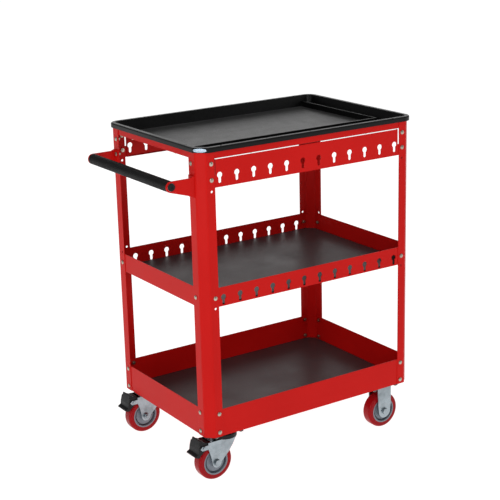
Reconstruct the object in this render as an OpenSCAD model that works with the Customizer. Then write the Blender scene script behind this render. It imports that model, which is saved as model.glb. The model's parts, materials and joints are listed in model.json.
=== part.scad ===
// Three-level tool cart: four bent corner posts carry a keyhole-punched hook
// panel on each long side, two pan shelves with mats and a moulded top tray.
// A push handle stands off one end.  Two braked swivel castors run under the
// handle end and two fixed castors under the other.
// X runs along the cart with the handle at -X, Y is the depth with the badge
// side at -Y, and Z is up from the floor.

/* [Frame] */
// length over the corner posts
cart_length = 668; // [500:2:900]
// depth over the corner posts
cart_depth = 460; // [360:2:600]
// height of the frame's lower edge above the floor
base_height = 130; // [120:1:160]
// height of the frame's upper edge, where the tray rests
frame_top = 878; // [800:1:1000]
// thickness of the bent steel sheet
sheet = 1.5; // [1:0.1:2.5]
// width of a post's flange on the long side
post_long_flange = 44; // [36:1:60]
// width of a post's flange on the short side
post_short_flange = 49; // [40:1:60]
// leg of the slanted face between a post's two flanges
post_chamfer = 20; // [12:1:30]
// outside radius of a post's two bends
post_bend = 9; // [3:1:12]

/* [Shelves] */
// height of the bottom shelf's wall
bottom_wall = 74; // [50:1:100]
// height of the middle shelf's lower edge
middle_height = 481; // [400:1:600]
// height of the middle shelf's wall
middle_wall = 50; // [40:1:80]
// thickness of a shelf mat
mat_thickness = 3.5; // [2:0.5:6]
// gap all round a shelf mat
mat_gap = 6; // [1:0.5:8]

/* [Hook panels] */
// height of a hook panel's lower edge
panel_bottom = 788; // [760:1:810]
// height of a hook panel's upper edge
panel_top = 858.5; // [840:0.5:870]
// lower edge of the top rails, above the open slit
rail_bottom = 861.5; // [855:0.5:870]
// upper edge of the tab that fastens a hook panel
panel_tab_top = 818; // [805:1:830]
// open slit between a post's flange and a hook panel
panel_slit = 3.5; // [2:0.5:6]
// number of keyholes in a row
keyhole_count = 12; // [6:1:16]
// distance from keyhole to keyhole
keyhole_pitch = 50; // [30:1:60]
// diameter of a keyhole's round head
keyhole_head = 15; // [10:1:20]
// width of a keyhole's slot
keyhole_slot = 8; // [5:0.5:10]
// overall height of a keyhole
keyhole_height = 28; // [20:1:36]
// height of the head centres in the hook panels
panel_keyhole_height = 818.5; // [800:0.5:840]
// height of the head centres in the middle shelf
middle_keyhole_height = 504.5; // [490:0.5:520]

/* [Top tray] */
// how far the tray's skirt stands outside the posts
tray_overhang = 4; // [2:0.5:8]
// height of the tray's skirt
tray_skirt = 12.5; // [8:0.5:20]
// width of the tray's rim from skirt to well
rim_width = 12; // [11:0.5:20]
// radius of the rim's outer upper edge
rim_round = 3.5; // [1:0.5:4]
// outside radius of the tray's three round corners
tray_corner = 31; // [21:1:40]
// leg of the slanted face that carries the badge
badge_face = 27.5; // [24:0.5:34]
// wall thickness of the tray
tray_wall = 2.5; // [2:0.5:4]
// depth of the well below the rim
well_depth = 31.5; // [20:0.5:32]
// how far the well's wall slopes inwards on its way down
wall_slope = 8; // [2:0.5:12]
// height of the divider ribs above the well's floor
rib_height = 16; // [8:1:20]
// thickness of the divider ribs
rib_thickness = 5; // [3:0.5:8]
// middle of the cross rib from the tray's far end face
cross_rib_inset = 47; // [30:1:120]
// middle of the long rib from the front face of the tray
long_rib_inset = 104; // [60:1:160]

/* [Handle] */
// height of the handle tube's middle line
handle_height = 802; // [780:1:830]
// distance of the handle tube from the posts
handle_reach = 66; // [50:1:100]
// diameter of the handle tube
handle_tube_diameter = 20; // [16:1:25]
// diameter of the rubber grip over its ribs
grip_diameter = 28; // [24:0.5:36]
// thickness of a handle bracket
bracket_thickness = 3; // [2:0.5:5]
// radius of a bracket's round end
bracket_end_radius = 14; // [13:0.5:20]

/* [Castors] */
// diameter of a wheel
wheel_diameter = 100; // [80:1:110]
// width of a wheel
wheel_width = 32; // [25:1:36]
// castor middle from the end of the cart
castor_end_inset = 73; // [60:1:100]
// castor middle from the side of the cart
castor_side_inset = 42; // [38:1:60]
// how far a swivel castor's wheel trails its swivel axis
castor_trail = 38; // [30:1:45]
// length of a castor's mounting plate
plate_length = 95; // [85:1:110]
// width of a castor's mounting plate
plate_width = 65; // [60:1:85]
// bolt spacing of the plate along its length
plate_pitch_long = 75; // [60:1:80]
// bolt spacing of the plate across its width
plate_pitch_wide = 45; // [40:1:60]

/* [Hidden] */
$fn = 64;
eps = 0.01;
half_length = cart_length / 2;
half_depth = cart_depth / 2;
bend_run = tan(22.5);
corner_signs = [[-1, -1], [1, -1], [-1, 1], [1, 1]];
paint_red = [0.78, 0.10, 0.08];
plastic_black = [0.07, 0.07, 0.07];
mat_grey = [0.20, 0.18, 0.18];
zinc_grey = [0.72, 0.74, 0.76];
core_grey = [0.62, 0.63, 0.64];
tread_red = [0.62, 0.07, 0.09];
badge_blue = [0.55, 0.65, 0.72];

// bolts through the post flanges
bolt_shank = 6;
bolt_hole = 6.4;
bolt_head = 11;
bolt_head_height = 3.2;
bolt_grip_end = 10;
nut_width = 10;
nut_height = 5;
spare_hole = 6.4;
long_bolt_inset = 34;
short_bolt_inset = 38;
tab_start = 25;
rail_tab_bottom = 838;
rail_bolt_height = 849;
panel_bolt_height = 808.5;
middle_bolt_height = 505.5;
lower_bolt_heights = [193.5, 142.5];
bracket_bolt_heights = [808.5, 779.5];
front_spare_heights = [779.5, 478];
back_spare_heights = [779.5, 535];
rail_ledge = 6.5;

// shelves
shelf_length = cart_length - 2 * sheet;
shelf_depth = cart_depth - 2 * sheet;
shelf_chamfer = post_chamfer - sheet * (2 - sqrt(2));
shelf_bend = post_bend - sheet;
mat_pocket = 19;
mat_pocket_depth = 2.7;

// hook panels
panel_inset = post_long_flange + panel_slit;
panel_return = 5;

// top tray
tray_top = frame_top + tray_skirt;
tray_length = cart_length + 2 * tray_overhang;
tray_depth = cart_depth + 2 * tray_overhang;
well_floor = tray_top - well_depth;
well_sheet = 2;
well_bevel = 3;
notch_offset = 65;
notch_width = 2;
notch_depth = 1;
boss_diameter = 5;
screw_inset = 5.6;
screw_shank = 2.5;
screw_head = 5;
screw_head_height = 2;
screw_length = 14;
screw_long_offset = 180;
screw_short_offset = 110;
badge_length = 33;
badge_height = 10;
badge_end_radius = 3;
badge_thickness = 1.5;

// handle
bracket_inset = 24;
foot_width = 24;
foot_bottom = 765;
foot_top = 820;
foot_slope = 16.5;
grip_rib_count = 24;
grip_rib_depth = 1;
tube_wall = 1.5;
tube_proud = 1;
plug_flange = 2;
plug_stem = 14;
plug_socket = 6;

// castors
wheel_radius = wheel_diameter / 2;
plate_thickness = 3;
plate_corner = 8;
plate_hole = 8.6;
castor_x = half_length - castor_end_inset;
castor_y = half_depth - castor_side_inset;
castor_bolt = 8;
castor_bolt_head = 15;
castor_bolt_head_height = 2.5;
castor_bolt_end = 13;
castor_nut_width = 13;
castor_nut_height = 6.5;
fork_sheet = 2.5;
fork_outside = 22;
fork_inside = fork_outside - fork_sheet;
crown_top = 111;
crown_radius = 32;
crown_back = 50;
leg_back = 63;
fold_offset = 19;
fold_angle = 6.5;
axle_boss = 14;
fork_front = 26;
leg_rear_edge = [[-59, 82], [-55, 67]];
leg_front_edge = [[-18, 55], [0, 71], [15.6, 90], [24, 104]];
ear_corner = 5;
ear_back = 86;
ear_bottom = 93;
ear_top = 105;
race_radius = 22;
ball_diameter = 6;
ball_height = 116;
ball_count = 16;
race_play = 0.05;
race_land = 4;
race_gap = 0.8;
cup_radius = 27;
cup_bottom = 116.4;
ring_radius = 33;
ring_bottom = 112;
ring_top = 122;
kingpin_diameter = 12;
kingpin_play = 0.08;
kingpin_nut_height = 9;
kingpin_nut_width = 19;
axle_diameter = 10;
axle_play = 0.08;
axle_head_width = 16;
axle_head_height = 6;
axle_reach = 4;
tyre_bore = 36;
tyre_shoulder = 7;
rim_lip = 4;
web_half = 5;
disc_radius = 27;
disc_half = 12;
hub_radius = 15;
hub_half = 19;
bearing_radius = 11;
bearing_width = 9;
pivot_back = 74;
pivot_height = 99;
pin_diameter = 6;
pin_play = 0.08;
pin_head = 10;
pin_head_height = 2;
pedal_top = [[-62, 113], [-69, 112.5], [-77, 116], [-84, 122], [-86.5, 121]];
pedal_back = [[-90, 110], [-93, 99], [-94.5, 87]];
pedal_toe = [[-102, 83], [-103, 80], [-94, 77], [-87, 78]];
pedal_shoe = [[-78, 86], [-70, 93.5], [-60, 105]];
pedal_inside = 19.1;
pedal_outside = 23;
pedal_wide_from = 88.5;
rigid_leg_half = 22.5;
rigid_end_radius = 20;

// ---------- shared shapes ----------

// moves the cart so that the middle of its whole length, handle included, is at zero
module centred() {
    translate([(handle_reach + bracket_end_radius - tray_overhang) / 2, 0, 0]) children();
}

// corner of a bent post seen from above, with the flanges on +X and +Y
module corner_face(inset, reach_x, reach_y) {
    r = post_bend - inset;
    mid = post_chamfer + bend_run * post_bend;
    cut = r * cos(45);
    polygon([[inset, reach_y], [inset, mid], [post_bend - cut, mid - cut],
        [mid - cut, post_bend - cut], [mid, inset], [reach_x, inset], [reach_x, reach_y]]);
    translate([post_bend, mid]) circle(r = r);
    translate([mid, post_bend]) circle(r = r);
}

// rectangle with slanted corners whose eight bends are rounded
module soft_octagon(length, depth, chamfer, bend) {
    mid = chamfer + bend_run * bend;
    cut = bend * (1 - cos(45));
    x = length / 2;
    y = depth / 2;
    polygon([[-x, -y + mid], [-x + cut, -y + mid - bend * cos(45)],
        [-x + mid - bend * cos(45), -y + cut], [-x + mid, -y],
        [x - mid, -y], [x - mid + bend * cos(45), -y + cut],
        [x - cut, -y + mid - bend * cos(45)], [x, -y + mid],
        [x, y - mid], [x - cut, y - mid + bend * cos(45)],
        [x - mid + bend * cos(45), y - cut], [x - mid, y],
        [-x + mid, y], [-x + mid - bend * cos(45), y - cut],
        [-x + cut, y - mid + bend * cos(45)], [-x, y - mid]]);
    for (s = corner_signs) {
        translate([s[0] * (x - bend), s[1] * (y - mid)]) circle(r = bend);
        translate([s[0] * (x - mid), s[1] * (y - bend)]) circle(r = bend);
    }
}

// moves a part drawn about the outer corner of the front left post to another corner
module at_corner(s) {
    translate([s[0] * half_length, s[1] * half_depth, 0])
        scale_to_corner(s) children();
}

// mirrors the front left corner's shape into the corner named by its signs
module scale_to_corner(s) {
    mirror([s[0] > 0 ? 1 : 0, 0, 0])
        mirror([0, s[1] > 0 ? 1 : 0, 0]) children();
}

// round hole or pin along Y in the long side's flange of a corner
module long_side(height, diameter, from, to) {
    translate([long_bolt_inset, from, height])
        rotate([-90, 0, 0]) cylinder(d = diameter, h = to - from);
}

// round hole or pin along X in the short side's flange of a corner
module short_side(height, diameter, from, to) {
    translate([from, short_bolt_inset, height])
        rotate([0, 90, 0]) cylinder(d = diameter, h = to - from);
}

// bolt holes that the frame joints need at one corner
module corner_holes(s) {
    depth = 4 * sheet;
    for (z = concat([rail_bolt_height, panel_bolt_height, middle_bolt_height], lower_bolt_heights))
        long_side(z, bolt_hole, -depth, depth);
    for (z = concat([rail_bolt_height, middle_bolt_height], lower_bolt_heights))
        short_side(z, bolt_hole, -depth, depth);
    for (z = bracket_bolt_heights)
        short_side(z, bolt_hole, -depth, depth);
}

// keyhole with its slot below the round head, cut along Y
module keyhole() {
    rotate([90, 0, 0]) linear_extrude(6 * sheet, center = true) {
        circle(d = keyhole_head);
        translate([0, -(keyhole_height - keyhole_head / 2 - keyhole_slot / 2)])
            circle(d = keyhole_slot);
        translate([-keyhole_slot / 2, -(keyhole_height - keyhole_head / 2 - keyhole_slot / 2)])
            square([keyhole_slot, keyhole_height - keyhole_head / 2 - keyhole_slot / 2]);
    }
}

// row of keyholes through the wall on the front side
module keyhole_row(height) {
    for (i = [0:keyhole_count - 1])
        translate([(i - (keyhole_count - 1) / 2) * keyhole_pitch, -half_depth, height]) keyhole();
}

// ---------- posts ----------

module post(s, spare_heights, side_heights) {
    color(paint_red) at_corner(s) difference() {
        translate([0, 0, base_height]) linear_extrude(frame_top - base_height) difference() {
            corner_face(0, post_long_flange, post_short_flange);
            corner_face(sheet, post_long_flange + 1, post_short_flange + 1);
        }
        corner_holes(s);
        for (z = spare_heights) long_side(z, spare_hole, -sheet, 2 * sheet);
        for (z = side_heights) short_side(z, spare_hole, -sheet, 2 * sheet);
    }
}

module post_front_left() {
    centred() post([-1, -1], front_spare_heights, []);
}

module post_front_right() {
    centred() post([1, -1], front_spare_heights, []);
}

module post_back_left() {
    centred() post([-1, 1], back_spare_heights, [back_spare_heights[1]]);
}

module post_back_right() {
    centred() post([1, 1], back_spare_heights, [back_spare_heights[1]]);
}

// ---------- top rails and hook panels ----------

// angle rail along the front side, with a bolted tab behind each post
module long_rail() {
    run = cart_length - 2 * tab_start;
    difference() {
        translate([0, -half_depth + sheet, 0]) {
            translate([-run / 2, 0, rail_bottom]) cube([run, sheet, frame_top - rail_bottom]);
            translate([-run / 2, 0, rail_bottom]) cube([run, rail_ledge, sheet]);
            for (m = [0, 1]) mirror([m, 0, 0])
                translate([-run / 2, 0, rail_tab_bottom])
                    cube([post_long_flange - tab_start - 1, sheet, rail_bottom - rail_tab_bottom + 1]);
        }
        for (s = [[-1, -1], [1, -1]]) at_corner(s) corner_holes(s);
        for (x = [-screw_long_offset, screw_long_offset])
            translate([x, -half_depth + screw_inset, rail_bottom - sheet])
                cylinder(d = screw_shank + 0.4, h = 3 * sheet);
    }
}

// angle rail along the handle end
module short_rail() {
    run = cart_depth - 2 * tab_start;
    difference() {
        translate([-half_length + sheet, 0, 0]) {
            translate([0, -run / 2, rail_bottom]) cube([sheet, run, frame_top - rail_bottom]);
            translate([0, -run / 2, rail_bottom]) cube([rail_ledge, run, sheet]);
            for (m = [0, 1]) mirror([0, m, 0])
                translate([0, -run / 2, rail_tab_bottom])
                    cube([sheet, post_short_flange - tab_start - 1, rail_bottom - rail_tab_bottom + 1]);
        }
        for (s = [[-1, -1], [-1, 1]]) at_corner(s) corner_holes(s);
        for (y = [-screw_short_offset, screw_short_offset])
            translate([-half_length + screw_inset, y, rail_bottom - sheet])
                cylinder(d = screw_shank + 0.4, h = 3 * sheet);
    }
}

module rail_front() {
    color(paint_red) centred() long_rail();
}

module rail_back() {
    color(paint_red) centred() mirror([0, 1, 0]) long_rail();
}

module rail_left() {
    color(paint_red) centred() short_rail();
}

module rail_right() {
    color(paint_red) centred() mirror([1, 0, 0]) short_rail();
}

// punched panel behind the front posts, held by a tab at each end
module hook_panel() {
    run = cart_length - 2 * panel_inset;
    tab_run = cart_length - 2 * tab_start;
    difference() {
        translate([0, -half_depth + sheet, 0]) {
            translate([-run / 2, 0, panel_bottom]) cube([run, sheet, panel_top - panel_bottom]);
            translate([-run / 2, 0, panel_bottom]) cube([run, panel_return, sheet]);
            translate([-tab_run / 2, 0, panel_bottom])
                cube([tab_run, sheet, panel_tab_top - panel_bottom]);
            for (m = [0, 1]) mirror([m, 0, 0])
                translate([-run / 2, 0, panel_bottom])
                    cube([sheet, panel_return, panel_top - panel_bottom]);
        }
        keyhole_row(panel_keyhole_height);
        for (s = [[-1, -1], [1, -1]]) at_corner(s) corner_holes(s);
    }
}

module hook_panel_front() {
    color(paint_red) centred() hook_panel();
}

module hook_panel_back() {
    color(paint_red) centred() mirror([0, 1, 0]) hook_panel();
}

// ---------- shelves and mats ----------

// open-topped sheet pan standing inside the posts
module pan(bottom, wall) {
    difference() {
        translate([0, 0, bottom]) linear_extrude(wall)
            soft_octagon(shelf_length, shelf_depth, shelf_chamfer, shelf_bend);
        translate([0, 0, bottom + sheet]) linear_extrude(wall)
            soft_octagon(shelf_length - 2 * sheet, shelf_depth - 2 * sheet,
                shelf_chamfer - sheet * (2 - sqrt(2)), shelf_bend - sheet);
        for (s = corner_signs) at_corner(s) corner_holes(s);
    }
}

module middle_shelf() {
    color(paint_red) centred() difference() {
        pan(middle_height, middle_wall);
        for (m = [0, 1]) mirror([0, m, 0]) keyhole_row(middle_keyhole_height);
    }
}

module bottom_shelf() {
    color(paint_red) centred() difference() {
        pan(base_height, bottom_wall);
        each_castor_bolt() translate([0, 0, base_height - sheet])
            cylinder(d = plate_hole, h = 4 * sheet);
    }
}

// loose mat lying in a pan
module mat(bottom) {
    inset = 2 * (sheet + mat_gap);
    translate([0, 0, bottom + sheet]) linear_extrude(mat_thickness)
        soft_octagon(shelf_length - inset, shelf_depth - inset, shelf_chamfer, shelf_bend);
}

module middle_mat() {
    color(mat_grey) centred() mat(middle_height);
}

// the bottom mat has a pocket underneath over every castor bolt
module bottom_mat() {
    color(mat_grey) centred() difference() {
        mat(base_height);
        each_castor_bolt() translate([0, 0, base_height + sheet - 1])
            cylinder(d = mat_pocket, h = mat_pocket_depth + 1);
    }
}

// ---------- top tray ----------

// places a screw or boss at each tray fixing
module each_tray_screw() {
    for (x = [-screw_long_offset, screw_long_offset], m = [-1, 1])
        translate([x, m * (half_depth - screw_inset), 0]) children();
    for (y = [-screw_short_offset, screw_short_offset], m = [-1, 1])
        translate([m * (half_length - screw_inset), y, 0]) children();
}

// the tray's outline moved inwards: three round corners and one slanted badge face
module tray_outline(inset) {
    x = tray_length / 2 - inset;
    y = tray_depth / 2 - inset;
    r = tray_corner - inset;
    leg = badge_face - inset * (2 - sqrt(2));
    polygon([[-x + leg, -y], [x - r, -y], [x, -y + r], [x, y - r],
        [x - r, y], [-x + r, y], [-x, y - r], [-x, -y + leg]]);
    for (s = [[1, -1], [1, 1], [-1, 1]]) translate([s[0] * (x - r), s[1] * (y - r)]) circle(r = r);
}

// thin layer of the tray's outline, one of those that a sloping shape is stretched over
module layer(height, inset) {
    translate([0, 0, height]) linear_extrude(eps) tray_outline(inset);
}

// inset of the well's sloping wall at a height
function wall_inset(z) = rim_width + wall_slope * (tray_top - z) / well_depth;

// skirt and rim in one block with a rounded outer upper edge
module tray_slab() {
    edge = tray_top - rim_round;
    hull() {
        translate([0, 0, frame_top]) linear_extrude(edge - frame_top) tray_outline(0);
        for (a = [18:18:90])
            translate([0, 0, edge]) linear_extrude(rim_round * sin(a))
                tray_outline(rim_round * (1 - cos(a)));
    }
}

// the two divider ribs, which meet in a corner
module divider_ribs() {
    rib_x = tray_length / 2 - cross_rib_inset;
    rib_y = -tray_depth / 2 + long_rib_inset;
    wall = wall_inset(well_floor + rib_height) - 1;
    back = tray_depth / 2 - wall;
    left = -tray_length / 2 + wall;
    translate([rib_x - rib_thickness / 2, rib_y - rib_thickness / 2, well_floor - 1])
        cube([rib_thickness, back - rib_y + rib_thickness / 2, rib_height + 1]);
    translate([left, rib_y - rib_thickness / 2, well_floor - 1])
        cube([rib_x - left, rib_thickness, rib_height + 1]);
}

module top_tray() {
    color(plastic_black) centred() {
        difference() {
            union() {
                difference() {
                    tray_slab();
                    translate([0, 0, frame_top - 1]) linear_extrude(tray_skirt - tray_wall + 1)
                        tray_outline(tray_wall);
                }
                each_tray_screw() translate([0, 0, rail_bottom + sheet])
                    cylinder(d = boss_diameter, h = tray_top - 1 - rail_bottom - sheet);
                hull() {
                    layer(well_floor - well_sheet, wall_inset(well_floor) - tray_wall + well_bevel);
                    layer(well_floor - well_sheet + well_bevel,
                        wall_inset(well_floor + well_bevel - well_sheet) - tray_wall);
                    layer(tray_top - 1.5, wall_inset(tray_top - 1.5) - tray_wall);
                }
            }
            hull() {
                layer(well_floor, wall_inset(well_floor));
                layer(tray_top + 1, wall_inset(tray_top + 1));
            }
            each_tray_screw() translate([0, 0, rail_bottom])
                cylinder(d = screw_shank, h = screw_length);
            // narrow marks across the rim near each corner
            for (s = corner_signs) at_corner(s) {
                translate([notch_offset, -tray_overhang - 1, tray_top - notch_depth])
                    cube([notch_width, rim_width + 2, 2 * notch_depth]);
                translate([-tray_overhang - 1, notch_offset, tray_top - notch_depth])
                    cube([rim_width + 2, notch_width, 2 * notch_depth]);
            }
            for (m = [0, 1]) mirror([0, m, 0])
                translate([0, -tray_depth / 2 - 1, tray_top - notch_depth])
                    cube([notch_width, rim_width + 2, 2 * notch_depth]);
        }
        divider_ribs();
    }
}

// oval of two flat arcs that run tangent into two small end circles
module oval(length, height, end) {
    side = height / 2;
    reach = length / 2 - end;
    arc = (reach * reach + side * side - end * end) / (2 * (side - end));
    join = reach * arc / (arc - end);
    intersection() {
        translate([0, side - arc]) circle(r = arc);
        translate([0, arc - side]) circle(r = arc);
        square([2 * join, height], center = true);
    }
    for (m = [-1, 1]) translate([m * reach, 0]) circle(r = end);
}

module tray_badge() {
    middle = badge_face / 2;
    color(badge_blue) centred()
        translate([middle - tray_length / 2, middle - tray_depth / 2, frame_top + tray_skirt / 2])
            rotate([0, 0, -45]) rotate([90, 0, 0])
                linear_extrude(badge_thickness) oval(badge_length, badge_height, badge_end_radius);
}

module tray_screws() {
    color(zinc_grey) centred() each_tray_screw() translate([0, 0, rail_bottom]) {
        translate([0, 0, -screw_head_height]) cylinder(d = screw_head, h = screw_head_height);
        cylinder(d = screw_shank, h = screw_length);
    }
}

// ---------- frame fasteners ----------

// button-head bolt along +Z with the underside of its head at zero
module button_bolt(reach) {
    crown = 1.4;
    translate([0, 0, -eps]) cylinder(d = bolt_shank, h = reach + eps);
    translate([0, 0, -crown]) cylinder(d = bolt_head, h = crown);
    translate([0, 0, -crown]) intersection() {
        translate([0, 0, (bolt_head * bolt_head / 4 - (bolt_head_height - crown) * (bolt_head_height - crown))
            / (2 * (bolt_head_height - crown))])
            sphere(r = (bolt_head * bolt_head / 4 + (bolt_head_height - crown) * (bolt_head_height - crown))
                / (2 * (bolt_head_height - crown)));
        translate([0, 0, -bolt_head_height + crown - 1])
            cylinder(d = bolt_head, h = bolt_head_height - crown + 1);
    }
}

// hexagon nut along +Z with a through bore
module hex_nut(width, height, bore) {
    difference() {
        cylinder(d = width / cos(30), h = height, $fn = 6);
        translate([0, 0, -1]) cylinder(d = bore, h = height + 2);
    }
}

// child turned to point inward through the long side's flange
module on_long_side(height, outset) {
    translate([long_bolt_inset, -outset, height]) rotate([-90, 0, 0]) children();
}

// child turned to point inward through the short side's flange
module on_short_side(height, outset) {
    translate([-outset, short_bolt_inset, height]) rotate([0, 90, 0]) children();
}

module frame_bolts() {
    color(zinc_grey) centred() for (s = corner_signs) at_corner(s) {
        for (z = concat([rail_bolt_height, panel_bolt_height, middle_bolt_height], lower_bolt_heights))
            on_long_side(z, 0) button_bolt(bolt_grip_end);
        for (z = concat([rail_bolt_height, middle_bolt_height], lower_bolt_heights))
            on_short_side(z, 0) button_bolt(bolt_grip_end);
    }
}

module frame_nuts() {
    color(zinc_grey) centred() for (s = corner_signs) at_corner(s) {
        for (z = concat([rail_bolt_height, panel_bolt_height, middle_bolt_height], lower_bolt_heights))
            on_long_side(z, -2 * sheet) hex_nut(nut_width, nut_height, bolt_shank);
        for (z = concat([rail_bolt_height, middle_bolt_height], lower_bolt_heights))
            on_short_side(z, -2 * sheet) hex_nut(nut_width, nut_height, bolt_shank);
    }
}

// ---------- handle ----------

// teardrop bracket of the front left corner, with its bolted foot
module handle_bracket() {
    end_x = -handle_reach;
    r = bracket_end_radius;
    difference() {
        union() {
            translate([0, bracket_inset + bracket_thickness, 0]) rotate([90, 0, 0])
                linear_extrude(bracket_thickness) {
                    polygon([[end_x, handle_height + r], [-12, handle_height + r],
                        [0, foot_top], [0, foot_bottom], [-12, foot_bottom + 6],
                        [end_x - r * sin(foot_slope), handle_height - r * cos(foot_slope)]]);
                    translate([end_x, handle_height]) circle(r = r);
                }
            translate([-bracket_thickness, bracket_inset, foot_bottom])
                cube([bracket_thickness, foot_width, foot_top - foot_bottom]);
        }
        translate([end_x, 0, handle_height]) rotate([-90, 0, 0])
            cylinder(d = handle_tube_diameter + 2 * axle_play, h = 2 * bracket_inset);
        for (z = bracket_bolt_heights) short_side(z, bolt_hole, -2 * bracket_thickness, bracket_thickness);
    }
}

module handle_bracket_front() {
    color(paint_red) centred() at_corner([-1, -1]) handle_bracket();
}

module handle_bracket_back() {
    color(paint_red) centred() at_corner([-1, 1]) handle_bracket();
}

module handle_tube() {
    run = cart_depth - 2 * bracket_inset + 2 * tube_proud;
    color(zinc_grey) centred() translate([-half_length - handle_reach, 0, handle_height])
        rotate([90, 0, 0]) difference() {
            cylinder(d = handle_tube_diameter, h = run, center = true);
            cylinder(d = handle_tube_diameter - 2 * tube_wall, h = run + 2, center = true);
        }
}

module handle_grip() {
    run = cart_depth - 2 * (bracket_inset + bracket_thickness) - 1;
    r = grip_diameter / 2 - grip_rib_depth;
    color(plastic_black) centred() translate([-half_length - handle_reach, 0, handle_height])
        rotate([90, 0, 0]) linear_extrude(run, center = true) difference() {
            union() {
                circle(r = r);
                for (i = [0:grip_rib_count - 1]) rotate([0, 0, i * 360 / grip_rib_count])
                    translate([0, -grip_rib_depth * 0.9]) square([r + grip_rib_depth, grip_rib_depth * 1.8]);
            }
            circle(d = handle_tube_diameter);
        }
}

module handle_plugs() {
    run = cart_depth / 2 - bracket_inset + tube_proud;
    bore = handle_tube_diameter - 2 * tube_wall;
    color(plastic_black) centred() translate([-half_length - handle_reach, 0, handle_height])
        for (m = [0, 1]) mirror([0, m, 0]) translate([0, -run, 0]) rotate([90, 0, 0]) difference() {
            union() {
                cylinder(d = handle_tube_diameter - 1, h = plug_flange);
                translate([0, 0, -plug_stem]) cylinder(d = bore, h = plug_stem + eps);
            }
            translate([0, 0, plug_flange - 1.2]) cylinder(d = plug_socket, h = 2);
        }
}

module handle_bolts() {
    color(zinc_grey) centred() for (s = [[-1, -1], [-1, 1]]) at_corner(s) for (z = bracket_bolt_heights) {
        on_short_side(z, bracket_thickness) button_bolt(bolt_grip_end + bracket_thickness);
        on_short_side(z, -sheet) hex_nut(nut_width, nut_height, bolt_shank);
    }
}

// ---------- castors ----------

// child repeated at the four castor middles
module each_castor() {
    for (s = corner_signs) translate([s[0] * castor_x, s[1] * castor_y, 0]) children();
}

// child repeated at every castor bolt
module each_castor_bolt() {
    each_castor() for (s = corner_signs)
        translate([s[0] * plate_pitch_long / 2, s[1] * plate_pitch_wide / 2, 0]) children();
}

module castor_bolts() {
    color(zinc_grey) centred() each_castor_bolt() translate([0, 0, base_height + sheet]) {
        cylinder(d = castor_bolt_head, h = castor_bolt_head_height);
        translate([0, 0, -castor_bolt_end]) cylinder(d = castor_bolt, h = castor_bolt_end + eps);
    }
}

module castor_nuts() {
    color(plastic_black) centred() each_castor_bolt()
        translate([0, 0, base_height - plate_thickness - castor_nut_height])
            hex_nut(castor_nut_width, castor_nut_height, castor_bolt);
}

// mounting plate with rounded corners and four holes
module mounting_plate() {
    x = plate_length / 2 - plate_corner;
    y = plate_width / 2 - plate_corner;
    translate([0, 0, base_height - plate_thickness]) linear_extrude(plate_thickness) difference() {
        union() {
            square([plate_length, 2 * y], center = true);
            square([2 * x, plate_width], center = true);
            for (s = corner_signs) translate([s[0] * x, s[1] * y]) circle(r = plate_corner);
        }
        for (s = corner_signs)
            translate([s[0] * plate_pitch_long / 2, s[1] * plate_pitch_wide / 2]) circle(d = plate_hole);
    }
}

// ring groove that the swivel balls run in
module ball_groove(play) {
    rotate_extrude() translate([race_radius, ball_height]) circle(d = ball_diameter + 2 * play);
}

// fixed upper half of a swivel head: the plate with its pressed bearing cup
module swivel_plate() {
    color(zinc_grey) difference() {
        union() {
            mounting_plate();
            translate([0, 0, cup_bottom])
                cylinder(r = cup_radius, h = base_height - plate_thickness - cup_bottom + eps);
        }
        ball_groove(race_play);
        translate([0, 0, cup_bottom - 1]) cylinder(d = kingpin_diameter, h = base_height);
    }
}

module swivel_plate_front() {
    centred() translate([-castor_x, -castor_y, 0]) swivel_plate();
}

module swivel_plate_back() {
    centred() translate([-castor_x, castor_y, 0]) swivel_plate();
}

// riveted pin and nut that hold the fork up against the balls
module kingpin() {
    nut_top = crown_top - fork_sheet - race_play * 2;
    color(zinc_grey) {
        translate([0, 0, nut_top - kingpin_nut_height]) cylinder(d = kingpin_diameter,
            h = base_height - nut_top + kingpin_nut_height);
        translate([0, 0, nut_top - kingpin_nut_height + 1])
            cylinder(d = kingpin_nut_width / cos(30), h = kingpin_nut_height - 1, $fn = 6);
    }
}

module kingpin_front() {
    centred() translate([-castor_x, -castor_y, 0]) kingpin();
}

module kingpin_back() {
    centred() translate([-castor_x, castor_y, 0]) kingpin();
}

module dust_ring() {
    color(plastic_black) translate([0, 0, ring_bottom]) difference() {
        cylinder(r = ring_radius, h = ring_top - ring_bottom);
        translate([0, 0, -1]) cylinder(r = cup_radius, h = ring_top);
    }
}

module dust_ring_front() {
    centred() translate([-castor_x, -castor_y, 0]) dust_ring();
}

module dust_ring_back() {
    centred() translate([-castor_x, castor_y, 0]) dust_ring();
}

module swivel_balls() {
    color(zinc_grey) for (i = [0:ball_count - 1]) rotate([0, 0, i * 360 / ball_count])
        translate([race_radius, 0, ball_height]) sphere(d = ball_diameter);
}

module swivel_balls_front() {
    centred() translate([-castor_x, -castor_y, 0]) swivel_balls();
}

module swivel_balls_back() {
    centred() translate([-castor_x, castor_y, 0]) swivel_balls();
}

// outline of a swivel fork's leg, drawn in X and Z about the swivel axis
module fork_outline() {
    ear = [[-leg_back, ear_top], [-ear_back + ear_corner, ear_top],
        [-ear_back, ear_top - ear_corner], [-ear_back, ear_bottom + ear_corner],
        [-ear_back + ear_corner, ear_bottom], [-leg_back, ear_bottom]];
    foot = [[-castor_trail - axle_boss, wheel_radius], [-castor_trail + axle_boss, wheel_radius]];
    top = [[fork_front, crown_top], [-leg_back, crown_top]];
    polygon(concat(ear, leg_rear_edge, foot, leg_front_edge, top));
    translate([-castor_trail, wheel_radius]) circle(r = axle_boss);
}

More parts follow.
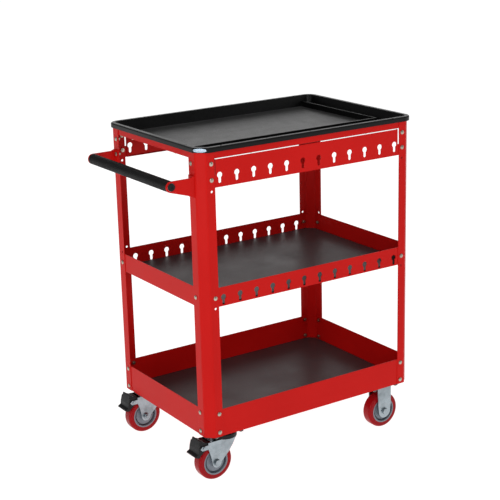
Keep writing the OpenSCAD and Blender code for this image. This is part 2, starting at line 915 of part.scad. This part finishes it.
// a leg seen from above: flat beside the wheel, folded inwards in front of it
module fork_plan() {
    fold_in = (fork_front + fold_offset + 1) * tan(fold_angle);
    polygon([[-ear_back - 1, -fork_outside], [-fold_offset, -fork_outside],
        [fork_front + 1, -fork_outside + fold_in], [fork_front + 1, -fork_inside + fold_in],
        [-fold_offset, -fork_inside], [-ear_back - 1, -fork_inside]]);
}

// stamped fork, free to turn on its balls
module swivel_fork() {
    color(zinc_grey) difference() {
        union() {
            // crown
            translate([0, 0, crown_top - fork_sheet]) linear_extrude(fork_sheet) {
                circle(r = crown_radius);
                translate([-crown_back, -fork_outside]) square([crown_back, 2 * fork_outside]);
            }
            // raised ring that carries the balls
            translate([0, 0, crown_top - 1])
                cylinder(r = race_radius + race_land, h = cup_bottom - race_gap - crown_top + 1);
            for (m = [0, 1]) mirror([0, m, 0]) intersection() {
                linear_extrude(base_height) fork_plan();
                rotate([90, 0, 0]) linear_extrude(2 * fork_outside) fork_outline();
            }
        }
        ball_groove(race_play);
        translate([0, 0, crown_top - 2 * fork_sheet])
            cylinder(d = kingpin_diameter + 2 * kingpin_play, h = 4 * fork_sheet);
        translate([-castor_trail, 0, wheel_radius]) rotate([90, 0, 0])
            cylinder(d = axle_diameter, h = 3 * fork_outside, center = true);
        translate([-pivot_back, 0, pivot_height]) rotate([90, 0, 0])
            cylinder(d = pin_diameter, h = 3 * fork_outside, center = true);
    }
}

module swivel_fork_front() {
    centred() translate([-castor_x, -castor_y, 0]) swivel_fork();
}

module swivel_fork_back() {
    centred() translate([-castor_x, castor_y, 0]) swivel_fork();
}

// side view of the brake pedal, drawn in X and Z about the swivel axis
module pedal_side() {
    polygon(concat(pedal_top, pedal_back, pedal_toe, pedal_shoe));
}

// moulded brake pedal with a wide tread behind the fork's ears
module brake_pedal() {
    color(plastic_black) difference() {
        union() {
            rotate([90, 0, 0]) linear_extrude(2 * pedal_inside, center = true) pedal_side();
            intersection() {
                rotate([90, 0, 0]) linear_extrude(2 * pedal_outside, center = true) pedal_side();
                translate([-2 * pedal_wide_from, -2 * pedal_outside, 0])
                    cube([pedal_wide_from, 4 * pedal_outside, crown_top + 2 * ball_diameter]);
            }
        }
        translate([-pivot_back, 0, pivot_height]) rotate([90, 0, 0])
            cylinder(d = pin_diameter + 2 * pin_play, h = 3 * pedal_outside, center = true);
    }
}

module brake_pedal_front() {
    centred() translate([-castor_x, -castor_y, 0]) brake_pedal();
}

module brake_pedal_back() {
    centred() translate([-castor_x, castor_y, 0]) brake_pedal();
}

module pedal_pin() {
    color(zinc_grey) translate([-pivot_back, 0, pivot_height]) rotate([90, 0, 0]) {
        cylinder(d = pin_diameter, h = 2 * fork_outside, center = true);
        for (m = [0, 1]) mirror([0, 0, m]) translate([0, 0, fork_outside])
            cylinder(d = pin_head, h = pin_head_height);
    }
}

module pedal_pin_front() {
    centred() translate([-castor_x, -castor_y, 0]) pedal_pin();
}

module pedal_pin_back() {
    centred() translate([-castor_x, castor_y, 0]) pedal_pin();
}

// side of a fixed fork, drawn in X and Z about the castor's middle
module rigid_side() {
    top = base_height - plate_thickness;
    waist = wheel_radius + rigid_end_radius;
    polygon([[-rigid_leg_half, top], [-rigid_leg_half, waist], [-rigid_end_radius, wheel_radius],
        [rigid_end_radius, wheel_radius], [rigid_leg_half, waist], [rigid_leg_half, top]]);
    translate([0, wheel_radius]) circle(r = rigid_end_radius);
}

// fixed fork welded to its mounting plate
module rigid_fork() {
    top = base_height - plate_thickness;
    color(zinc_grey) difference() {
        union() {
            mounting_plate();
            translate([-rigid_leg_half, -fork_outside, top - fork_sheet])
                cube([2 * rigid_leg_half, 2 * fork_outside, fork_sheet + eps]);
            for (m = [0, 1]) mirror([0, m, 0]) translate([0, -fork_inside, 0])
                rotate([90, 0, 0]) linear_extrude(fork_sheet) rigid_side();
        }
        translate([0, 0, wheel_radius]) rotate([90, 0, 0])
            cylinder(d = axle_diameter, h = 3 * fork_outside, center = true);
    }
}

module rigid_fork_front() {
    centred() translate([castor_x, -castor_y, 0]) rigid_fork();
}

module rigid_fork_back() {
    centred() translate([castor_x, castor_y, 0]) rigid_fork();
}

// ---------- wheels ----------

// child moved to one of the four wheel middles, its axis along Y
module at_wheel(end, side) {
    shift = end < 0 ? castor_trail : 0;
    translate([end * castor_x - shift, side * castor_y, wheel_radius]) rotate([90, 0, 0]) children();
}

module tyre() {
    half = wheel_width / 2;
    shoulder = tyre_shoulder;
    color(tread_red) rotate_extrude() {
        translate([tyre_bore, -half]) square([wheel_radius - shoulder - tyre_bore, wheel_width]);
        translate([tyre_bore, -half + shoulder])
            square([wheel_radius - tyre_bore, wheel_width - 2 * shoulder]);
        for (m = [-1, 1]) translate([wheel_radius - shoulder, m * (half - shoulder)])
            circle(r = shoulder);
    }
}

// wheel centre: a rim lip, a recess over a thin web, a raised disc and a hub
module wheel_core() {
    half = wheel_width / 2;
    color(core_grey) rotate_extrude() {
        translate([tyre_bore - rim_lip, -half]) square([rim_lip, wheel_width]);
        translate([bearing_radius, -web_half]) square([tyre_bore - bearing_radius - 1, 2 * web_half]);
        translate([bearing_radius, -hub_half + 1.5])
            square([hub_radius - bearing_radius, 2 * hub_half - 3]);
        translate([hub_radius - 1, -disc_half]) square([disc_radius - hub_radius + 1, 2 * disc_half]);
    }
}

// pair of bearings in a hub
module wheel_bearings() {
    color(zinc_grey) for (m = [0, 1]) mirror([0, 0, m])
        translate([0, 0, hub_half - 1.5 - bearing_width]) difference() {
            cylinder(r = bearing_radius, h = bearing_width);
            translate([0, 0, -1]) cylinder(d = axle_diameter + 2 * axle_play, h = bearing_width + 2);
        }
}

// axle bolt with its nut
module wheel_axle() {
    color(zinc_grey) {
        cylinder(d = axle_diameter, h = 2 * fork_outside + eps, center = true);
        translate([0, 0, fork_outside]) {
            cylinder(d = axle_head_width / cos(30), h = axle_head_height, $fn = 6);
        }
        translate([0, 0, -fork_outside - axle_head_height - axle_reach])
            cylinder(d = axle_diameter, h = axle_head_height + axle_reach + eps);
        translate([0, 0, -fork_outside - axle_head_height])
            cylinder(d = axle_head_width / cos(30), h = axle_head_height, $fn = 6);
    }
}

module tyre_swivel_front() {
    centred() at_wheel(-1, -1) tyre();
}

module tyre_swivel_back() {
    centred() at_wheel(-1, 1) tyre();
}

module tyre_rigid_front() {
    centred() at_wheel(1, -1) tyre();
}

module tyre_rigid_back() {
    centred() at_wheel(1, 1) tyre();
}

module core_swivel_front() {
    centred() at_wheel(-1, -1) wheel_core();
}

module core_swivel_back() {
    centred() at_wheel(-1, 1) wheel_core();
}

module core_rigid_front() {
    centred() at_wheel(1, -1) wheel_core();
}

module core_rigid_back() {
    centred() at_wheel(1, 1) wheel_core();
}

module bearings_swivel_front() {
    centred() at_wheel(-1, -1) wheel_bearings();
}

module bearings_swivel_back() {
    centred() at_wheel(-1, 1) wheel_bearings();
}

module bearings_rigid_front() {
    centred() at_wheel(1, -1) wheel_bearings();
}

module bearings_rigid_back() {
    centred() at_wheel(1, 1) wheel_bearings();
}

module axle_swivel_front() {
    centred() at_wheel(-1, -1) wheel_axle();
}

module axle_swivel_back() {
    centred() at_wheel(-1, 1) mirror([0, 0, 1]) wheel_axle();
}

module axle_rigid_front() {
    centred() at_wheel(1, -1) wheel_axle();
}

module axle_rigid_back() {
    centred() at_wheel(1, 1) mirror([0, 0, 1]) wheel_axle();
}

post_front_left();
post_front_right();
post_back_left();
post_back_right();
rail_front();
rail_back();
rail_left();
rail_right();
hook_panel_front();
hook_panel_back();
middle_shelf();
bottom_shelf();
middle_mat();
bottom_mat();
top_tray();
tray_badge();
tray_screws();
frame_bolts();
frame_nuts();
handle_bracket_front();
handle_bracket_back();
handle_tube();
handle_grip();
handle_plugs();
handle_bolts();
castor_bolts();
castor_nuts();
swivel_plate_front();
swivel_plate_back();
kingpin_front();
kingpin_back();
dust_ring_front();
dust_ring_back();
swivel_balls_front();
swivel_balls_back();
swivel_fork_front();
swivel_fork_back();
brake_pedal_front();
brake_pedal_back();
pedal_pin_front();
pedal_pin_back();
rigid_fork_front();
rigid_fork_back();
tyre_swivel_front();
tyre_swivel_back();
tyre_rigid_front();
tyre_rigid_back();
core_swivel_front();
core_swivel_back();
core_rigid_front();
core_rigid_back();
bearings_swivel_front();
bearings_swivel_back();
bearings_rigid_front();
bearings_rigid_back();
axle_swivel_front();
axle_swivel_back();
axle_rigid_front();
axle_rigid_back();
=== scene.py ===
"""Looks for the tool cart: the camera, a finish for each material slot, and a white studio."""

import json
import math

import bpy
from mathutils import Matrix, Vector

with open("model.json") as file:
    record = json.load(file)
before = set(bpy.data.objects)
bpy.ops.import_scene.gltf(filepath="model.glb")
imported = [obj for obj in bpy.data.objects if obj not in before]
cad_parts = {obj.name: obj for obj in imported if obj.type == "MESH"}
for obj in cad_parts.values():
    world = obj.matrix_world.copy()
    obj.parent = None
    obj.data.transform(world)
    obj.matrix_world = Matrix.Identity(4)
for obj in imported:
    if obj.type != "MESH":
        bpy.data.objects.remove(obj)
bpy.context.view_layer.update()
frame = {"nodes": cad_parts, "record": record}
nodes = frame["nodes"]

# ---------- camera: set first ------------------------------------------------------------

CAMERA_PLACE = (-1.8985, -2.8907, 1.5508)
CAMERA_AZIMUTH = math.radians(-33.456)
CAMERA_ELEVATION = math.radians(16.298)
CAMERA_ROLL = math.radians(-1.393)
CAMERA_LENS_MM = 94.92
CAMERA_SENSOR_MM = 36.0
CAMERA_SHIFT = (-0.0098, -0.0066)


def make_camera():
    data = bpy.data.cameras.new("camera")
    data.lens = CAMERA_LENS_MM
    data.sensor_width = CAMERA_SENSOR_MM
    data.shift_x, data.shift_y = CAMERA_SHIFT
    data.clip_end = 50.0
    back = Vector((
        math.sin(CAMERA_AZIMUTH) * math.cos(CAMERA_ELEVATION),
        -math.cos(CAMERA_AZIMUTH) * math.cos(CAMERA_ELEVATION),
        math.sin(CAMERA_ELEVATION),
    ))
    level_right = Vector((0.0, 0.0, 1.0)).cross(back).normalized()
    level_up = back.cross(level_right)
    right = math.cos(CAMERA_ROLL) * level_right + math.sin(CAMERA_ROLL) * level_up
    up = back.cross(right)
    turn = Matrix((right, up, back)).transposed().to_4x4()
    camera = bpy.data.objects.new("camera", data)
    camera.matrix_world = Matrix.Translation(CAMERA_PLACE) @ turn
    bpy.context.scene.collection.objects.link(camera)
    bpy.context.scene.camera = camera


make_camera()

# ---------- node helpers for the finishes ----------


class Finish:
    """A material on one Principled shader, with short calls for what its detail is made of."""

    def __init__(self, name):
        self.material = bpy.data.materials.new(name)
        self.material.use_nodes = True
        self.tree = self.material.node_tree
        self.shader = self.tree.nodes["Principled BSDF"]
        self.place = self.add("ShaderNodeTexCoord").outputs["Object"]

    def add(self, kind, **settings):
        node = self.tree.nodes.new(kind)
        for key, value in settings.items():
            setattr(node, key, value)
        return node

    def link(self, source, target):
        self.tree.links.new(source, target)

    def set(self, **values):
        for key, value in values.items():
            self.shader.inputs[key.replace("_", " ")].default_value = value

    def noise(self, scale, detail=3.0, roughness=0.5, stretch=None):
        """Noise of so many features a metre, stretched by a factor along each axis."""
        node = self.add("ShaderNodeTexNoise")
        node.inputs["Scale"].default_value = scale
        node.inputs["Detail"].default_value = detail
        node.inputs["Roughness"].default_value = roughness
        source = self.place
        if stretch:
            mapping = self.add("ShaderNodeMapping")
            mapping.inputs["Scale"].default_value = stretch
            self.link(self.place, mapping.inputs["Vector"])
            source = mapping.outputs["Vector"]
        self.link(source, node.inputs["Vector"])
        return node.outputs["Fac"]

    def cells(self, scale):
        """Distance to the middles of so many random cells a metre."""
        node = self.add("ShaderNodeTexVoronoi")
        node.inputs["Scale"].default_value = scale
        self.link(self.place, node.inputs["Vector"])
        return node.outputs["Distance"]

    def span(self, source, low, high, out_low=0.0, out_high=1.0):
        """Maps a value's low..high onto out_low..out_high, clamped."""
        node = self.add("ShaderNodeMapRange")
        node.inputs["From Min"].default_value = low
        node.inputs["From Max"].default_value = high
        node.inputs["To Min"].default_value = out_low
        node.inputs["To Max"].default_value = out_high
        self.link(source, node.inputs["Value"])
        return node.outputs["Result"]

    def blend(self, amount, first, second):
        """A colour between two, each a tuple or another colour's socket."""
        node = self.add("ShaderNodeMix", data_type="RGBA")
        self.link(amount, node.inputs["Factor"])
        for key, colour in (("A", first), ("B", second)):
            socket = [s for s in node.inputs if s.name == key and s.type == "RGBA"][0]
            if isinstance(colour, tuple):
                socket.default_value = (*colour, 1.0)
            else:
                self.link(colour, socket)
        return [s for s in node.outputs if s.type == "RGBA"][0]

    def colour(self, socket):
        self.link(socket, self.shader.inputs["Base Color"])

    def roughness(self, socket):
        self.link(socket, self.shader.inputs["Roughness"])

    def bump(self, *layers, edge=0.0):
        """Bump from (height socket, depth in metres) layers over softly rounded edges."""
        normal = None
        if edge:
            bevel = self.add("ShaderNodeBevel", samples=4)
            bevel.inputs["Radius"].default_value = edge
            normal = bevel.outputs["Normal"]
        for height, depth in layers:
            node = self.add("ShaderNodeBump")
            node.inputs["Distance"].default_value = depth
            self.link(height, node.inputs["Height"])
            if normal:
                self.link(normal, node.inputs["Normal"])
            normal = node.outputs["Normal"]
        self.link(normal, self.shader.inputs["Normal"])


# ---------- finishes ----------

# The top of the tray's well floor, and the band above it over which its painted sheen fades out, in
# metres.
TRAY_FLOOR = 0.859
FLOOR_SHEEN_FADE = (0.0004, 0.0010)


def red_powder_coat():
    """Powder coat with a fine orange peel and faint smears."""
    f = Finish("red_powder_coat")
    peel = f.noise(420.0, 2.0)
    broad = f.noise(4.0, 4.0)
    smear = f.noise(16.0, 5.0, 0.6)
    f.colour(f.blend(f.span(broad, 0.3, 0.7), (0.53, 0.0066, 0.0052), (0.59, 0.0086, 0.0066)))
    f.roughness(f.span(smear, 0.3, 0.75, 0.30, 0.40))
    f.set(IOR=1.33, Specular_IOR_Level=0.15)
    f.bump((peel, 0.00008), edge=0.0006)
    return f.material


def black_tray_plastic():
    """Satin moulding with a grain; its well floor is painted lighter grey, a painted sheen for its
    reflection of the bright studio.
    """
    f = Finish("black_tray_plastic")
    grain = f.cells(1100.0)
    fine = f.noise(2600.0, 2.0)
    scuff = f.noise(22.0, 6.0, 0.65)
    split = f.add("ShaderNodeSeparateXYZ")
    f.link(f.place, split.inputs["Vector"])
    fade_low, fade_high = (TRAY_FLOOR + rise for rise in FLOOR_SHEEN_FADE)
    # Painted sheen: the well floor gets a lighter grey than the rest of the tray, standing in for
    # its reflection of the bright studio.
    sheen_on_floor = f.span(split.outputs["Z"], fade_low, fade_high, 1.0, 0.0)
    floor_painted_sheen = f.blend(f.span(scuff, 0.35, 0.8), (0.034, 0.034, 0.034), (0.048, 0.048, 0.048))
    plain = f.blend(f.span(scuff, 0.45, 0.8), (0.0016, 0.0016, 0.0018), (0.0035, 0.0035, 0.0038))
    f.colour(f.blend(sheen_on_floor, plain, floor_painted_sheen))
    f.roughness(f.span(scuff, 0.3, 0.75, 0.28, 0.40))
    f.set(Specular_IOR_Level=0.18)
    f.bump((grain, 0.00010), (fine, 0.00004), edge=0.0008)
    return f.material


def shelf_mat():
    """Pebbled rubber sheet, dusty in places."""
    f = Finish("shelf_mat")
    grain = f.noise(1500.0, 3.0)
    pebble = f.cells(520.0)
    dust = f.noise(9.0, 6.0, 0.6)
    f.colour(f.blend(f.span(dust, 0.35, 0.75), (0.046, 0.034, 0.036), (0.062, 0.048, 0.050)))
    f.roughness(f.span(dust, 0.3, 0.7, 0.34, 0.50))
    f.set(Specular_IOR_Level=0.2)
    f.bump((pebble, 0.00012), (grain, 0.00005))
    return f.material


def ribbed_rubber():
    """The grip's rubber, rubbed lighter by hands; its ribs are in the mesh."""
    f = Finish("ribbed_rubber")
    grain = f.noise(1900.0, 3.0)
    rub = f.noise(30.0, 4.0, 0.6)
    f.colour(f.blend(f.span(rub, 0.4, 0.8), (0.006, 0.006, 0.0065), (0.014, 0.0135, 0.0135)))
    f.roughness(f.span(rub, 0.3, 0.7, 0.42, 0.60))
    f.set(Specular_IOR_Level=0.18)
    f.bump((grain, 0.00006), edge=0.0003)
    return f.material


def black_moulding(name, smoothest):
    """Hard black plastic; smoothest is its lowest roughness."""
    f = Finish(name)
    grain = f.noise(1700.0, 3.0)
    rub = f.noise(45.0, 4.0, 0.6)
    f.colour(f.blend(f.span(rub, 0.45, 0.8), (0.006, 0.006, 0.007), (0.013, 0.013, 0.014)))
    f.roughness(f.span(rub, 0.3, 0.7, smoothest, smoothest + 0.16))
    f.set(Specular_IOR_Level=0.2)
    f.bump((grain, 0.00005), edge=0.0006)
    return f.material


def zinc_plate(name, tint, low, high):
    """Spangled plate, duller where it is stained; its roughness runs from low to high."""
    f = Finish(name)
    spangle = f.cells(260.0)
    streak = f.noise(300.0, 3.0, 0.5, (1.0, 1.0, 0.08))
    stain = f.noise(35.0, 5.0, 0.6)
    dull = tuple(0.62 * c for c in tint)
    f.colour(f.blend(f.span(stain, 0.4, 0.75), tint, dull))
    f.roughness(f.span(stain, 0.25, 0.75, low, high))
    f.set(Metallic=1.0)
    f.bump((spangle, 0.00005), (streak, 0.00003), edge=0.0004)
    return f.material


def red_tread():
    """Cast red tyre with a little dust."""
    f = Finish("red_tread")
    flow = f.noise(120.0, 3.0)
    dust = f.noise(60.0, 5.0, 0.65)
    f.colour(f.blend(f.span(dust, 0.5, 0.85), (0.31, 0.003, 0.006), (0.24, 0.008, 0.011)))
    f.roughness(f.span(dust, 0.3, 0.75, 0.20, 0.38))
    f.set(IOR=1.36, Specular_IOR_Level=0.2)
    f.bump((flow, 0.00010), edge=0.0005)
    return f.material


def grey_core():
    """Grey moulded wheel centre."""
    f = Finish("grey_core")
    grain = f.noise(900.0, 2.0)
    stain = f.noise(50.0, 4.0, 0.6)
    f.colour(f.blend(f.span(stain, 0.4, 0.8), (0.185, 0.210, 0.245), (0.13, 0.15, 0.18)))
    f.roughness(f.span(stain, 0.3, 0.7, 0.28, 0.42))
    f.bump((grain, 0.00005), edge=0.0006)
    return f.material


def brushed_badge():
    """Plain badge, brushed across."""
    f = Finish("brushed_badge")
    brush = f.noise(900.0, 2.0, 0.5, (1.0, 1.0, 0.05))
    cloud = f.noise(90.0, 2.0)
    f.colour(f.blend(f.span(cloud, 0.35, 0.7), (0.20, 0.26, 0.32), (0.28, 0.34, 0.40)))
    f.roughness(f.span(brush, 0.3, 0.7, 0.22, 0.36))
    f.set(Metallic=0.85)
    f.bump((brush, 0.00004), edge=0.0004)
    return f.material


FINISHES = {
    "red_paint": red_powder_coat(),
    "mat_rubber": shelf_mat(),
    "tray_plastic": black_tray_plastic(),
    "badge_metal": brushed_badge(),
    "grip_rubber": ribbed_rubber(),
    "trim_plastic": black_moulding("trim_black", 0.38),
    "pedal_plastic": black_moulding("pedal_black", 0.32),
    "tread": red_tread(),
    "wheel_core": grey_core(),
    "plated_fasteners": zinc_plate("fastener_plate", (0.50, 0.45, 0.37), 0.22, 0.40),
    "dark_fasteners": zinc_plate("fastener_black", (0.10, 0.10, 0.105), 0.35, 0.5),
    "bearing_steel": zinc_plate("bearing_steel", (0.62, 0.62, 0.64), 0.12, 0.24),
    "zinc": zinc_plate("bright_zinc", (0.34, 0.39, 0.42), 0.18, 0.38),
}

for entry in frame["record"]["subparts"]:
    mesh = nodes[entry["node"]].data
    mesh.materials.clear()
    mesh.materials.append(FINISHES[entry["material_slot"]])

# ---------- studio ----------

FLOOR_SIZE = 40.0
FLOOR_GLOW = 0.97
WORLD_STRENGTH = 0.22
CART_MIDDLE = (0.0, 0.0, 0.45)
# Name, place, width and height, power in watts. Each is aimed at CART_MIDDLE.
SOFTBOXES = (
    ("overhead", (0.2, -0.3, 3.2), (2.6, 2.6), 22.0),
    ("key", (-1.6, -3.4, 2.4), (1.8, 1.8), 32.0),
    ("side", (-3.2, -0.4, 1.5), (1.4, 2.0), 13.0),
    ("back", (2.3, 3.4, 2.15), (4.2, 2.4), 28.0),
    ("edge", (-2.97, -1.99, 0.75), (0.5, 1.5), 12.0),
    ("fill", (3.0, -2.0, 1.6), (1.8, 1.8), 9.0),
)


def make_floor():
    """A pale floor that glows enough to read as white."""
    bpy.ops.mesh.primitive_plane_add(size=FLOOR_SIZE, location=(0.0, 0.0, 0.0))
    floor = bpy.context.object
    floor.name = "studio_floor"
    f = Finish("studio_floor")
    cloud = f.noise(0.6, 2.0)
    f.colour(f.blend(cloud, (0.30, 0.30, 0.30), (0.32, 0.32, 0.32)))
    f.set(Roughness=0.95, Specular_IOR_Level=0.1)
    f.set(Emission_Color=(1.0, 1.0, 1.0, 1.0), Emission_Strength=FLOOR_GLOW)
    floor.data.materials.append(f.material)


def make_softbox(name, place, size, power):
    data = bpy.data.lights.new(name, "AREA")
    data.shape = "RECTANGLE"
    data.size, data.size_y = size
    data.energy = power
    light = bpy.data.objects.new(name, data)
    light.location = place
    light.rotation_euler = (Vector(CART_MIDDLE) - Vector(place)).to_track_quat("-Z", "Y").to_euler()
    bpy.context.scene.collection.objects.link(light)


def make_world(strength):
    """Even light all round; seen directly, the backdrop is as white as the floor."""
    world = bpy.data.worlds.new("studio_world")
    world.use_nodes = True
    tree = world.node_tree
    studio = tree.nodes["Background"]
    studio.inputs["Color"].default_value = (1.0, 1.0, 1.0, 1.0)
    studio.inputs["Strength"].default_value = strength
    backdrop = tree.nodes.new("ShaderNodeBackground")
    backdrop.inputs["Color"].default_value = (1.0, 1.0, 1.0, 1.0)
    rays = tree.nodes.new("ShaderNodeLightPath")
    mix = tree.nodes.new("ShaderNodeMixShader")
    tree.links.new(rays.outputs["Is Camera Ray"], mix.inputs[0])
    tree.links.new(studio.outputs["Background"], mix.inputs[1])
    tree.links.new(backdrop.outputs["Background"], mix.inputs[2])
    tree.links.new(mix.outputs["Shader"], tree.nodes["World Output"].inputs["Surface"])
    bpy.context.scene.world = world


make_floor()
make_world(WORLD_STRENGTH)
for softbox in SOFTBOXES:
    make_softbox(*softbox)
bpy.context.scene.view_settings.view_transform = "Standard"
